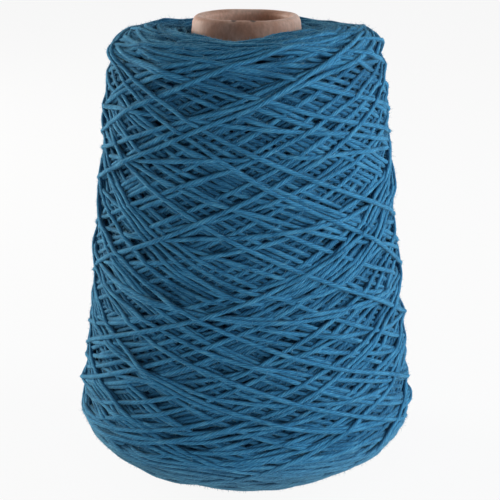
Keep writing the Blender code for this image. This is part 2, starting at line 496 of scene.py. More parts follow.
def find_hollows(bed, angle, along, shifts, stiffness):
    """Moves the strand sideways to where it lies lowest, with no sharp bend, by dynamic programming."""
    run, lengths, radius = run_of(bed.outline, angle, along)
    step = lengths[-1] / (len(lengths) - 1)
    side = np.column_stack([-run[:, 1] / radius, run[:, 0]])
    tried = [bed.support(angle + s * side[:, 0], along + s * side[:, 1]) for s in shifts]
    costs = np.array([smooth(support, 0.006 / step) for support in tried]).T + 50 * shifts**2
    jumps = stiffness * (shifts[:, None] - shifts) ** 2 / step
    best, back = costs[0], np.zeros(costs.shape, int)
    for i in range(1, len(costs)):
        tried = best[:, None] + jumps
        back[i] = tried.argmin(axis=0)
        best = tried.min(axis=0) + costs[i]
    chosen = [int(best.argmin())]
    for i in range(len(costs) - 1, 0, -1):
        chosen.append(back[i][chosen[-1]])
    shift = smooth(shifts[chosen[::-1]], 0.035 / step)
    from_end = np.clip(np.minimum(lengths, lengths[-1] - lengths) / 0.015, 0, 1)
    shift *= from_end**2 * (3 - 2 * from_end)
    return angle + shift * side[:, 0], along + shift * side[:, 1]


def summed(values, lengths):
    """The integral of values over the length, up to each sample."""
    return np.concatenate([[0], np.cumsum((values[1:] + values[:-1]) / 2 * np.diff(lengths))])


def pulled_taut(lengths, support, bend):
    """The lowest height of a taut strand over its supports, on a surface that curves away by bend."""
    slope = summed(bend, lengths)
    fall = summed(slope, lengths)
    straight = support - fall
    held = [0]
    for i in range(1, len(lengths)):
        while len(held) > 1:
            a, b = held[-2], held[-1]
            over = (straight[i] - straight[a]) * (lengths[b] - lengths[a])
            if (straight[b] - straight[a]) * (lengths[i] - lengths[a]) > over:
                break
            held.pop()
        held.append(i)
    return np.interp(lengths, lengths[held], straight[held]) + fall


# How far a strand may shift sideways into a hollow
SIDE_STEPS = np.linspace(-1, 1, 11) * 0.0007


def wind_package():
    """Lays every stroke. Returns the bed and, for each stroke, its angles, places and heights."""
    winding = settings().winding
    rng = np.random.default_rng(winding.seed)
    outline = Outline()
    bed = Bed(outline)
    angles, places = plan_turns(outline, rng)
    strokes = []
    for k in range(len(places) - 1):
        reversal = winding.reversal if k < winding.strokes else winding.wrap_reversal
        reversal = winding.short_reversal if k in short_strokes(winding) else reversal
        angle, along = stroke_route(angles[k : k + 2], places[k : k + 2], reversal)
        if k % 3 == 0:
            bed.measure_level()
        angle, along = find_hollows(bed, angle, along, SIDE_STEPS, winding.stiffness)
        run, lengths, radius = run_of(outline, angle, along)
        round_share = run[:, 0] ** 2
        bend = round_share * outline.read(outline.out[:, 0], along) / radius
        bend += (1 - round_share) * outline.read(outline.bend, along)
        height = pulled_taut(lengths, bed.support(angle, along), np.maximum(bend, 4) + winding.press)
        height = smooth(height, 0.008 / (lengths[-1] / len(lengths)))
        height += smooth(bed.level_at(angle, along), 5)
        if strokes:
            height += (strokes[-1][2][-1] - height[0]) * np.exp(-lengths / 0.008)
        bed.add(angle, along, height)
        strokes.append((angle, along, height))
    bed.measure_level()
    return bed, strokes


def spread_least(values, reach):
    """The lowest value within so many cells of each one."""
    padded = np.pad(values, ((reach, reach), (0, 0)), mode="edge")
    rows = range(2 * reach + 1)
    least = np.min([padded[row : row + len(values)] for row in rows], axis=0)
    return np.min([np.roll(least, row - reach, axis=1) for row in rows], axis=0)


def visible_stretches(bed, strokes):
    """(stroke, points, lengths, painted shade by depth: 1 at the level, 0 deepest) of each stretch that
    shows, its ends tucked under the others.
    """
    outline = bed.outline
    strand, winding = settings().strand, settings().winding
    least = spread_least(bed.height, 3)
    zones = [0.030, 0.055, outline.crest - 0.024, outline.crest - 0.008]
    relief = [winding.end_relief, winding.relief, winding.relief, winding.end_relief]
    found = []
    for number_, (angle, along, height) in enumerate(strokes):
        lengths = run_of(outline, angle, along)[1]
        even = np.arange(0, lengths[-1], strand.ring_spacing)
        angle, along, height = (np.interp(even, lengths, values) for values in (angle, along, height))
        rows = np.clip(np.round(along / CELL).astype(int), 0, len(least) - 1)
        columns = np.round(angle / bed.cell_angle).astype(int) % COLUMNS
        shows = height + bed.radius * bed.squeeze > least[rows, columns] - SHOWS_THROUGH
        tucked = np.convolve(shows, np.ones(9), mode="same") > 0
        lift = height - smooth(bed.level_at(angle, along), 5)
        # Painted shade by depth: 1 where the strand lies at the mean level, falling to 0 at SHADE_DEPTH below
        # it
        shade = np.clip(1 + lift / SHADE_DEPTH, 0, 1)
        lift *= np.interp(along, zones, relief)
        lift = np.where(lift < 0, lift * winding.fill, lift) - winding.sink
        lift -= winding.end_sink * np.interp(along, zones, [0.6, 0, 0, 1])
        crown = np.interp(along, [outline.crest - 0.014, outline.crest - 0.002], [0, 1])
        for middle, width, rise in TOP_HEAPS:
            apart = half_turn(angle - math.radians(middle))
            lift += rise * crown * np.exp(-((apart / math.radians(width)) ** 4))
        out, up = (outline.read(outline.out[:, i], along) for i in (0, 1))
        radius = outline.read(outline.radius, along) + out * lift
        level = outline.read(outline.height, along) + up * lift
        points = np.column_stack([radius * np.cos(angle), radius * np.sin(angle), level])
        inward = -np.column_stack([np.cos(angle) * out, np.sin(angle) * out, up])
        edges = np.flatnonzero(np.diff(np.concatenate([[0], tucked.astype(int), [0]])))
        for start, end in zip(edges[::2], edges[1::2]):
            if end - start > TUCKED_RINGS:
                ring = np.arange(end - start)
                depth = np.clip(1 - np.minimum(ring, ring[::-1]) / TUCKED_RINGS, 0, 1) ** 2
                depth *= strand.diameter * 1.1
                places = points[start:end] + inward[start:end] * depth[:, None]
                found.append((number_, places, even[start:end], shade[start:end]))
    return found


# Node trees


class Value:
    """What a socket gives. Sums, products and the like of values become Math nodes."""

    def __init__(self, tree, socket):
        self.tree, self.socket = tree, socket

    def maths(self, operation, *others):
        return self.tree.add("ShaderNodeMath", dict(enumerate((self, *others))), operation=operation)

    def vector(self, operation, other=(0.0, 0.0, 0.0), out=0):
        return self.tree.add("ShaderNodeVectorMath", {0: self, 1: other}, out, operation=operation)

    def above(self, other):
        return self.tree.add("FunctionNodeCompare", {0: self, 1: other})

    def split(self):
        """The three parts of a vector."""
        return [Value(self.tree, part) for part in self.tree.node("ShaderNodeSeparateXYZ", {0: self}).outputs]

    __add__ = partialmethod(maths, "ADD")
    __sub__ = partialmethod(maths, "SUBTRACT")
    __mul__ = partialmethod(maths, "MULTIPLY")
    __truediv__ = partialmethod(maths, "DIVIDE")
    scaled = partialmethod(maths, "MULTIPLY_ADD")


class Tree:
    """A node tree, with short ways to fill it."""

    def __init__(self, tree):
        self.tree = tree

    def put(self, socket, value):
        """Sets an input socket to a number, or links it to a value."""
        value = getattr(value, "socket", value)
        if isinstance(value, bpy.types.NodeSocket):
            self.tree.links.new(value, socket)
        else:
            socket.default_value = value

    def node(self, kind, inputs=None, **values):
        """A node with its settings and inputs."""
        made = self.tree.nodes.new(kind)
        for name, value in values.items():
            setattr(made, name, value)
        for name, value in (inputs or {}).items():
            self.put(made.inputs[name], value)
        return made

    def add(self, kind, inputs=None, out=0, **values):
        """The value of one output of a new node."""
        return Value(self, self.node(kind, inputs, **values).outputs[out])

    def combine(self, x, y, z=0.0):
        return self.add("ShaderNodeCombineXYZ", {0: x, 1: y, 2: z})

    def named(self, name):
        """A named attribute's value, in a geometry tree."""
        return self.add("GeometryNodeInputNamedAttribute", {"Name": name}, data_type="FLOAT")

    def store(self, geometry, name, value, kind="FLOAT", domain="POINT"):
        inputs = {"Geometry": geometry, "Name": name, "Value": value}
        return self.add("GeometryNodeStoreNamedAttribute", inputs, data_type=kind, domain=domain)

    def store_factor(self, curve, name):
        """Keeps each point's share of the way along its curve."""
        return self.store(curve, name, self.add("GeometryNodeSplineParameter", out="Factor"))

    def finish(self, geometry, material):
        """Ends a geometry tree: real geometry, shaded smooth, with its material."""
        real = self.add("GeometryNodeRealizeInstances", {0: geometry})
        soft = self.add("GeometryNodeSetShadeSmooth", {"Geometry": real, "Shade Smooth": True})
        worn = self.add("GeometryNodeSetMaterial", {"Geometry": soft, "Material": material})
        self.node("NodeGroupOutput", {0: worn})
        return self.tree

    def attribute(self, name, out="Fac"):
        """A named attribute's value, in a material."""
        return self.add("ShaderNodeAttribute", out=out, attribute_name=name)

    def ramp(self, value, *stops):
        """A value turned into a colour, by stops of (value, colour)."""
        ramp = self.node("ShaderNodeValToRGB", {0: value})
        elements = ramp.color_ramp.elements
        while len(elements) < len(stops):
            elements.new(0.5)
        for element, (place, rgb) in zip(elements, stops):
            element.position = place
            element.color = (*rgb, 1)
        return Value(self, ramp.outputs[0])

    def mix(self, factor, a, b, blend="MIX"):
        """A mix of two colours. They are plain ones or values."""
        a, b = (part if isinstance(part, Value) else (*part, 1) for part in (a, b))
        return self.add("ShaderNodeMix", {0: factor, 6: a, 7: b}, 2, data_type="RGBA", blend_type=blend)

    def bump(self, height, strength, distance):
        return self.add("ShaderNodeBump", {"Height": height, "Strength": strength, "Distance": distance})

    def streaks(self, group, place, fineness, stretch, tone_scale=60.0):
        """The streaks and the broad tone of the fibres at a place."""
        inputs = {"Place": place, "Fineness": fineness, "Stretch": stretch, "Tone Scale": tone_scale}
        return [Value(self, out) for out in self.node("ShaderNodeGroup", inputs, node_tree=group).outputs]


def new_group(name, kind, inputs, outputs):
    """A node group with named sockets, each with its kind, and the values that it is given."""
    group = bpy.data.node_groups.new(name, kind)
    for way, sockets in (("INPUT", inputs), ("OUTPUT", outputs)):
        for label, socket in sockets.items():
            group.interface.new_socket(label, in_out=way, socket_type="NodeSocket" + socket)
    tree = Tree(group)
    given = tree.node("NodeGroupInput").outputs
    return tree, [Value(tree, given[label]) for label in inputs]


def geometry_group(name, inputs):
    """A geometry tree that is given a geometry, these inputs and a material."""
    inputs = {"Geometry": "Geometry", **inputs, "Material": "Material"}
    return new_group(name, "GeometryNodeTree", inputs, {"Geometry": "Geometry"})


def plied_strand_tree():
    """Sweeps a round section along each chain of edges, and keeps each corner's place in the strand."""
    inputs = {"Diameter": "Float", "Sides": "Int", "Rows": "Float", "Row Length": "Float"}
    tree, (chains, diameter, sides, rows, row_length, material) = geometry_group("Plied Strand", inputs)
    along, row, half = tree.named("along"), tree.named("row"), diameter / 2.0
    curve = tree.add("GeometryNodeMeshToCurve", {0: chains})
    section = {"Resolution": sides + 1, "Sweep Angle": 2 * math.pi, "Radius": half}
    section = tree.store_factor(tree.add("GeometryNodeCurveArc", section, mode="RADIUS"), "around")
    swept = {"Curve": curve, "Profile Curve": section, "Scale": tree.named("thickness")}
    swept = tree.add("GeometryNodeCurveToMesh", swept)
    around = tree.named("around")
    turn = around * (2 * math.pi)
    place = tree.combine(turn.maths("COSINE") * half, turn.maths("SINE") * half, along)
    swept = tree.store(swept, "yarn_place", place, "FLOAT_VECTOR")
    spot = tree.combine(along / row_length, (row + around.scaled(0.88, 0.06)) / rows)
    swept = tree.store(swept, "OFBake", spot, "FLOAT2", "CORNER")
    closed = tree.add("GeometryNodeMergeByDistance", {"Geometry": swept, "Distance": 1e-6})
    return tree.finish(closed, material)


def loose_fibres_tree():
    """Sets bent hairs and short spikes on the faces of the strands that look outwards."""
    inputs = dict.fromkeys(("Density", "Down", "Outside", "Length", "Thickness", "Columns"), "Float")
    inputs |= {"Middle": "Vector", "Seed": "Int"}
    tree, given = geometry_group("Loose Fibres", inputs)
    strands, density, down, outside, long, thickness, columns, middle, seed, material = given
    place = tree.add("GeometryNodeInputPosition")
    normal = tree.add("GeometryNodeInputNormal")
    facing = place.vector("SUBTRACT", middle).vector("NORMALIZE").vector("DOT_PRODUCT", normal, "Value")
    x, y, z = place.split()
    flat = tree.combine(x, y).vector("LENGTH", out="Value")
    taper = (cone_radius(0) - cone_radius(CONE_LENGTH)) / CONE_LENGTH
    ends = (z - CONE_LENGTH / 2).maths("ABSOLUTE").above(CONE_LENGTH * BARE_HALF)
    outer = facing.above(0.35) * z.scaled(taper, flat).above(outside).maths("MAXIMUM", ends)
    lean = {0: (-0.9, -0.9, 0.0), 1: (0.9, 0.9, 2 * math.pi), "Seed": seed}
    lean = tree.add("FunctionNodeRandomValue", lean, data_type="FLOAT_VECTOR")
    lean = tree.add("FunctionNodeEulerToRotation", {0: lean})
    size = tree.add("FunctionNodeRandomValue", {2: 0.35, 3: 1.0, "Seed": seed}, 1, data_type="FLOAT")

    def grown(hair, density):
        """Sets the hair on the faces, leaning every way."""
        ground = {"Mesh": strands, "Selection": outer, "Density": density, "Seed": seed}
        roots = tree.node("GeometryNodeDistributePointsOnFaces", ground).outputs
        turned = {0: roots["Rotation"], 1: lean}
        turned = tree.add("FunctionNodeRotateRotation", turned, rotation_space="LOCAL")
        inputs = {"Points": roots[0], "Instance": hair, "Rotation": turned, "Scale": size}
        return tree.add("GeometryNodeInstanceOnPoints", inputs)

    bent = tree.combine(long * 0.1, 0.0, long * 0.55)
    tip = tree.combine(long * 0.6, long * 0.15, long * 0.6)
    hair = {"Resolution": 2, "Start": (0.0, 0.0, -0.0002), "Middle": bent, "End": tip}
    hair = tree.store_factor(tree.add("GeometryNodeCurveQuadraticBezier", hair), "up")
    ring = {"Resolution": 3, "Radius": thickness / 2.0}
    ring = tree.store_factor(tree.add("GeometryNodeCurvePrimitiveCircle", ring), "around")
    hair = tree.add("GeometryNodeCurveToMesh", {"Curve": hair, "Profile Curve": ring, "Fill Caps": True})
    short = long * 0.55
    spike = {"Vertices": 3, "Radius Top": 0.0, "Radius Bottom": thickness * 1.3, "Depth": short}
    spike = tree.add("GeometryNodeMeshCone", spike, fill_type="NGON")
    spike = tree.store(spike, "around", (x / thickness).scaled(0.5, 0.5))
    spike = tree.store(spike, "up", z / short * 0.7 + (y / thickness).scaled(0.15, 0.15))
    joined = tree.node("GeometryNodeJoinGeometry")
    for made, many in ((hair, density), (spike, down)):
        tree.put(joined.inputs[0], grown(made, many))
    number_ = tree.add("GeometryNodeInputIndex")
    hairs = tree.store(joined.outputs[0], "hair", number_, domain="INSTANCE")
    hairs = tree.add("GeometryNodeRealizeInstances", {0: hairs})
    number_ = tree.named("hair")
    column, row = number_.maths("FLOORED_MODULO", columns), (number_ / columns).maths("FLOOR")
    u, v = (start + tree.named(name).scaled(0.8, 0.1) for start, name in ((column, "around"), (row, "up")))
    hairs = tree.store(hairs, "OFBake", tree.combine(u / columns, v / columns), "FLOAT2", "CORNER")
    return tree.finish(hairs, material)


def set_inputs(modifier, **values):
    """Sets a Geometry Nodes modifier's inputs by the identifiers of their sockets."""
    items = modifier.node_group.interface.items_tree
    found = {item.name.replace(" ", "_").lower(): item.identifier for item in items}
    for name, value in values.items():
        modifier[found[name]] = value


def link(name, data):
    """An object in the scene, round its mesh, lamp or camera."""
    made = bpy.data.objects.new(name, data)
    bpy.context.scene.collection.objects.link(made)
    return made


def as_plain_mesh(made):
    """Turns the evaluated result into the object's own mesh, and removes the modifiers."""
    graph = bpy.context.evaluated_depsgraph_get()
    shown = made.evaluated_get(graph)
    mesh = bpy.data.meshes.new_from_object(shown, preserve_all_data_layers=True, depsgraph=graph)
    made.modifiers.clear()
    old, made.data = made.data, mesh
    mesh.name = made.name
    bpy.data.meshes.remove(old)
    return made


def set_values(mesh, name, values):
    """Keeps a number at each corner of a mesh."""
    made = mesh.attributes.new(name, "FLOAT", "POINT")
    made.data.foreach_set("value", np.asarray(values, np.float32).ravel())


def strand_piece(name, stretches, tree, material):
    """One object that holds the strands along these stretches."""
    strand = settings().strand
    numbers = sorted({stretch[0] for stretch in stretches})
    points, edges, start = [], [], 0
    kept = {"along": [], "row": [], "thickness": [], "open": []}
    for number_, places, lengths, shade in stretches:
        points.append(places)
        edges += [(start + i, start + i + 1) for i in range(len(places) - 1)]
        start += len(places)
        uneven = np.sin(lengths * 130 + number_) + np.sin(lengths * 310 + 2.3 * number_)
        thickness = 1 + strand.unevenness * uneven / 2
        thickness[[0, -1]] = 0
        row = np.full(len(places), numbers.index(number_))
        for values, more in zip(kept.values(), (lengths, row, thickness, shade)):
            values.append(more)
    mesh = bpy.data.meshes.new(name)
    mesh.from_pydata(np.concatenate(points).tolist(), edges, [])
    for label, values in kept.items():
        set_values(mesh, label, np.concatenate(values))
    made = link(name, mesh)
    sweep = made.modifiers.new("Plied Strand", "NODES")
    sweep.node_group = tree
    set_inputs(
        sweep,
        diameter=strand.diameter,
        sides=strand.sides,
        rows=float(len(numbers)),
        row_length=float(max(stretch[2][-1] for stretch in stretches)) * 1.002,
        material=material,
    )
    return as_plain_mesh(made)


# Materials


class Finish(Tree):
    """A new material's tree, with its Principled shader."""

    def __init__(self, name):
        self.material = bpy.data.materials.new(name)
        self.material.use_nodes = True
        super().__init__(self.material.node_tree)
        self.shader = self.tree.nodes["Principled BSDF"]

    def shade(self, tint, roughness, specular, **more):
        """Sets what the shader is given, and returns the material."""
        inputs = {"Base Color": tint, "Roughness": roughness, "Specular IOR Level": specular}
        for name, value in (inputs | more).items():
            self.put(self.shader.inputs[name.replace("_", " ")], value)
        return self.material


def fibre_streaks_tree():
    """Fine fibres that run along one direction: light, dark and raised streaks, and a broad tone."""
    inputs = {"Place": "Vector", "Fineness": "Float", "Stretch": "Float", "Tone Scale": "Float"}
    outputs = {"Streaks": "Float", "Tone": "Float"}
    tree, (place, fineness, stretch, scale) = new_group("Fibre Streaks", "ShaderNodeTree", inputs, outputs)
    x, y, z = place.split()
    squeezed = tree.combine(x, y, z * stretch)
    fine = {"Vector": squeezed, "Scale": fineness, "Detail": 3.0, "Roughness": 0.6}
    broad = {"Vector": place, "Scale": scale, "Detail": 2.0}
    fine, broad = (tree.add("ShaderNodeTexNoise", noise) for noise in (fine, broad))
    tree.node("NodeGroupOutput", {"Streaks": fine, "Tone": broad})
    return tree.tree


def outward_direction(tree):
    """The package's own outward direction, and how far it faces down."""
    sizes = settings().package
    place = tree.add("ShaderNodeTexCoord", out="Object")
    height = place.split()[2]
    low, high = PACKAGE_LOW + sizes.lower_round, PACKAGE_HIGH + sizes.top_fall - sizes.upper_round
    up = tree.add("ShaderNodeMapRange", {0: height, 1: high, 2: PACKAGE_HIGH, 3: 0.0, 4: 1.3})
    down = tree.add("ShaderNodeMapRange", {0: height, 1: PACKAGE_LOW, 2: low, 3: 1.5, 4: 0.0})
    across = place.vector("MULTIPLY", (1.0, 1.0, 0.0)).vector("NORMALIZE")
    return across.vector("ADD", tree.combine(0.0, 0.0, up - down)).vector("NORMALIZE"), down


def yarn_material(streaks):
    """Teal plied yarn: matt, with twisted plies, streaks of fibre and a soft sheen of loose hairs; painted
    shade in the ply grooves, on the strands' sides and where they lie deep, and a painted sheen towards the
    lower end.
    """
    colours, strand = settings().yarn_finish, settings().strand
    tree = Finish("teal_yarn")
    place = tree.attribute("yarn_place", "Vector")
    twist = place.split()[2] * (2 * math.pi / strand.twist_length)
    untwisted = tree.add("ShaderNodeVectorRotate", {"Vector": place, "Angle": twist}, rotation_type="Z_AXIS")
    shift = tree.combine(0.0, 0.0, tree.attribute("row") * 1.7)
    streak, tone = tree.streaks(streaks, untwisted.vector("ADD", shift), 2600.0, 0.16, 110.0)
    x, y, _ = untwisted.split()
    ply = (y.maths("ARCTAN2", x) * (strand.plies / 2)).maths("SINE").maths("ABSOLUTE")
    # Painted shade: the ply term darkens the grooves between the plies towards the deep colour and lightens
    # their ridges
    mixed = streak * 0.6 + tone * 0.4 + ply.scaled(0.10, -0.065)
    stops = (0.33, colours.deep), (0.47, colours.main), (0.58, colours.light), (0.70, colours.pale)
    outward, down = outward_direction(tree)
    # Painted sheen: paler towards the lower end, where the package faces down, and a little everywhere
    tint = tree.mix(down.scaled(0.24, 0.015), tree.ramp(mixed, *stops), colours.haze)
    # Painted shade: the strands' sides, turned away from the package's outward direction, are darker, and the
    # parts facing outwards a little lighter
    upright = tree.add("ShaderNodeNewGeometry", out="Normal").vector("DOT_PRODUCT", outward, "Value")
    sides = tree.ramp(upright, (0.15, (0.45, 0.48, 0.53)), (0.80, (1.10, 1.10, 1.10)))
    # Painted shade: darker where the strand lies deep below the others
    deep = tree.ramp(tree.attribute("open"), (0.0, (0.62, 0.65, 0.69)), (0.85, (1.0, 1.0, 1.0)))
    tint = tree.mix(1.0, tree.mix(1.0, tint, sides, "MULTIPLY"), deep, "MULTIPLY")
    sheen = {"Sheen_Weight": 0.24, "Sheen_Roughness": 0.45, "Sheen_Tint": (0.45, 0.92, 1.0, 1)}
    return tree.shade(tint, 0.85, 0.05, Normal=tree.bump(streak * 1.2 + ply, 0.5, 0.00016), **sheen)


def fibre_material(streaks):
    """The loose hairs: paler than the strand, because the light passes through them."""
    colours = settings().yarn_finish
    tree = Finish("loose_fibre")
    streak, _ = tree.streaks(streaks, tree.add("ShaderNodeTexCoord", out="Object"), 400.0, 1.0)
    return tree.shade(tree.ramp(streak, (0.35, colours.light), (0.65, colours.hair)), 0.9, 0.1)


def core_material(streaks):
    """The yarn that shows deep in the gaps, painted dark as painted shade, and darkest in the grooves of its
    wave.
    """
    deep = settings().yarn_finish.deep
    tree = Finish("deep_yarn")
    place = tree.add("ShaderNodeTexCoord", out="Object")
    streak, _ = tree.streaks(streaks, place, 900.0, 3.0)
    x, _, z = place.split()
    wave = (x.scaled(0.3, z) * (2 * math.pi / settings().strand.diameter)).maths("SINE")
    # Painted shade: the core's colour is half to all of the deep colour, darkest in the grooves of its wave
    tint = tree.ramp(wave.scaled(0.18, streak), (0.35, [part * 0.5 for part in deep]), (0.65, deep))
    return tree.shade(tint, 0.95, 0.1, Normal=tree.bump(wave, 1.0, 0.0008))


def board_material(streaks):
    """Wound kraft board: matt brown and a little mottled, a pale lip that is partly worn and partly a painted
    highlight along its edge, a warmer bore, and painted shade in the nicks.
    """
    colours = settings().board_finish
    tree = Finish("kraft_board")
    place = tree.add("ShaderNodeTexCoord", out="Object")
    streak, tone = tree.streaks(streaks, place, 900.0, 0.5, 110.0)
    # Paler lip: partly wear and partly a painted highlight along the lip's edge
    worn_and_highlit = tree.attribute("wear") * tone.scaled(1.6, -0.05)
    tint = tree.mix(tree.attribute("bore"), colours.outside, colours.inside)
    tint = tree.mix(worn_and_highlit, tint, colours.worn)
    mottle = tree.ramp(tone, (0.36, (0.88, 0.77, 0.70)), (0.60, (1.05, 1.07, 1.08)))
    grain = tree.ramp(streak, (0.30, (0.80, 0.78, 0.76)), (0.70, (1.06, 1.06, 1.06)))
    tint = tree.mix(1.0, tree.mix(1.0, tint, mottle, "MULTIPLY"), grain, "MULTIPLY")
    # Painted shade in the nicks
    tint = tree.mix(tree.attribute("mark"), tint, NICK_SHADE_COLOUR)
    return tree.shade(tint, streak.scaled(0.25, 0.38), 0.22, Normal=tree.bump(streak, 0.3, 0.0002))


# Turned shapes


def turned_mesh(name, profile, segments, shape=None):
    """A closed ring turned round Z from (radius, height) points: up its outer side, down its inner."""
    turn = 2 * math.pi * np.arange(segments) / segments
    profile = np.asarray(profile)
    radius = np.repeat(profile[None, :, 0], segments, axis=0)
    height = np.repeat(profile[None, :, 1], segments, axis=0)
    if shape:
        radius, height = shape(radius, height, turn[:, None])
    corners = np.stack([radius * np.cos(turn)[:, None], radius * np.sin(turn)[:, None], height], axis=2)
    per = len(profile)
    faces = []
    for i in range(segments):
        here, there = i * per, (i + 1) % segments * per
        faces += [(here + j, there + j, there + (j + 1) % per, here + (j + 1) % per) for j in range(per)]
    mesh = bpy.data.meshes.new(name)
    mesh.from_pydata(corners.reshape(-1, 3).tolist(), [], faces)
    mesh.shade_smooth()
    return mesh


def joined_mesh(name, meshes):
    """One mesh with the corners and faces of several, without their attributes."""
    corners, faces, start = [], [], 0
    for mesh in meshes:
        corners += [tuple(v.co) for v in mesh.vertices]
        faces += [tuple(start + i for i in face.vertices) for face in mesh.polygons]
        start = len(corners)
    made = bpy.data.meshes.new(name)
    made.from_pydata(corners, [], faces)
    return made


def keep(piece, slot, *nodes):
    """Puts a finished piece in the frame, in place of its CAD nodes."""
    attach(piece, BODY)
    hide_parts(*nodes)


# Operators

shared = {}


def wound():
    """The wound bed and the stretches that show, worked out once."""
    if "wound" not in shared:
        bed, strokes = wind_package()
        shared["wound"] = bed, visible_stretches(bed, strokes)
    return shared["wound"]


def node_groups():
    """The node groups that more than one piece or material uses."""
    if "strand" not in shared:
        shared["strand"] = plied_strand_tree()
        shared["streaks"] = fibre_streaks_tree()
        shared["yarn"] = yarn_material(shared["streaks"])
        shared["fibres"] = loose_fibres_tree()
    return shared


# The most rings of faces in one piece, and the share of the strokes that lie below the outer layer
MOST_RINGS = 13000
BURIED = 0.62


def split_pieces(stretches):
    """Runs of stretches, in winding order, that each stay under the most faces for one piece."""
    runs, rings = [[]], 0
    for stretch in stretches:
        if rings + len(stretch[1]) > MOST_RINGS and runs[-1][-1][0] != stretch[0]:
            runs.append([])
            rings = 0
        runs[-1].append(stretch)
        rings += len(stretch[1])
    return runs


class YARN_OT_layers(bpy.types.Operator):
    """Winds the package and makes what shows of its layers"""

    bl_idname = "yarn_cone.layers"
    bl_label = "Yarn Layers"

    def execute(self, context):
        groups = node_groups()
        laid = settings().winding.strokes
        stretches = [stretch for stretch in wound()[1] if stretch[0] < laid]
        for number_, run in enumerate(split_pieces(stretches), 1):
            name = f"winding_{number_:02d}"
            piece = strand_piece(name, run, groups["strand"], groups["yarn"])
            layer = min(int(run[0][0] / laid / BURIED * len(LAYERS)), len(LAYERS) - 1)
            keep(piece, "teal_yarn", LAYERS[layer])
        return {"FINISHED"}


class YARN_OT_fuzz(bpy.types.Operator):
    """Makes the loose fibres that stand off the strands"""

    bl_idname = "yarn_cone.fuzz"
    bl_label = "Loose Fibres"

    def execute(self, context):
        fuzz = settings().fuzz
        groups = node_groups()
        hair = fibre_material(groups["streaks"])
        pieces = [(made.name, made.data) for made in bpy.data.objects]
        wraps = [mesh for name, mesh in pieces if name.startswith("top_wrap_")]
        windings = [[mesh] for name, mesh in pieces if name.startswith("winding_")]
        for number_, grounds in enumerate([wraps, *windings]):
            name = f"loose_fibres_{number_}"
            piece = link(name, joined_mesh(name, grounds))
            grown = piece.modifiers.new("Loose Fibres", "NODES")
            grown.node_group = groups["fibres"]
            set_inputs(
                grown,
                density=fuzz.density,
                down=fuzz.down,
                outside=cone_radius(0) + YARN_THICKNESS - fuzz.depth,
                length=fuzz.length,
                thickness=fuzz.thickness,
                middle=(0.0, 0.0, CONE_LENGTH / 2),
                columns=fuzz.columns,
                seed=fuzz.seed + number_,
                material=hair,
            )
            keep(as_plain_mesh(piece), "teal_yarn", "yarn_outer_layer")
        return {"FINISHED"}


class YARN_OT_core(bpy.types.Operator):
    """Makes the solid yarn below the strands that show"""

    bl_idname = "yarn_cone.core"
    bl_label = "Packed Core"

    def execute(self, context):
        outline = wound()[0].outline
        depth = settings().package.core_depth
        radius = outline.radius - outline.out[:, 0] * depth
        height = outline.height - outline.out[:, 1] * depth
        inside = radius > cone_radius(height) + 0.0005
        profile = np.column_stack([radius, height])[inside][::8]
        foot, top = profile[0], profile[-1]
        profile = [*profile, (cone_radius(top[1]) + 0.0003, top[1]), (cone_radius(foot[1]) + 0.0003, foot[1])]
        piece = link("packed_core", turned_mesh("packed_core", profile, 160))
        piece.data.materials.append(core_material(node_groups()["streaks"]))
        keep(piece, "teal_yarn", *LAYERS)
        return {"FINISHED"}


class YARN_OT_last_wraps(bpy.types.Operator):
    """Makes the last six strokes of the strand"""

    bl_idname = "yarn_cone.last_wraps"
    bl_label = "Last Wraps"

    def execute(self, context):
        groups = node_groups()
        laid = settings().winding.strokes
        for number_, node in enumerate(LAST_WRAPS):
            stretches = [stretch for stretch in wound()[1] if stretch[0] == laid + number_]
            piece = strand_piece(f"top_wrap_{number_ + 1}", stretches, groups["strand"], groups["yarn"])
            keep(piece, "teal_yarn", node)
        return {"FINISHED"}


# Faces round the paper cone, how far from the axis the nicks and the painted shade in them are, and the
# colour of that painted shade
CONE_SEGMENTS = 288
NICK_RADIUS = 0.0153
NICK_SHADE_RADIUS = 0.0168
NICK_SHADE_COLOUR = (0.012, 0.006, 0.004)


def bell(distance, width):
    """1 at no distance, falling softly to 0 over about the width."""
    return np.exp(-((distance / width) ** 2))


def cone_profile():
    """(radius, height) of the paper cone's section: up the outside, over the rolled lip and down the bore."""
    board = settings().board
    lip = board.lip_thickness / 2
    outer = cone_radius(CONE_LENGTH)
    outside = [(cone_radius(z), z) for z in np.linspace(0.0004, CONE_LENGTH - lip, 24)]
    base = cone_radius(0)
    foot = [(base - board.wall, 0.0003), (base - board.wall + 0.0003, 0), (base - 0.0004, 0)]
    roll = arc((outer - lip, CONE_LENGTH - lip), (lip, lip), 0, math.pi, 16)[1:]
    start = roll[-1]
    leg = [(start[0] + board.flare * s**2, start[1] - board.turn_in * s) for s in np.linspace(0, 1, 9)[1:]]
    edge, end = leg[-1]
    hem = [(edge + 0.0003, end - 0.0003), (cone_radius(end) - board.wall, end - 0.0006)]
    bore = [(cone_radius(z) - board.wall, z) for z in np.linspace(end - 0.002, 0.001, 12)]
    return np.array([*foot, *outside, *roll, *leg, *hem, *bore])


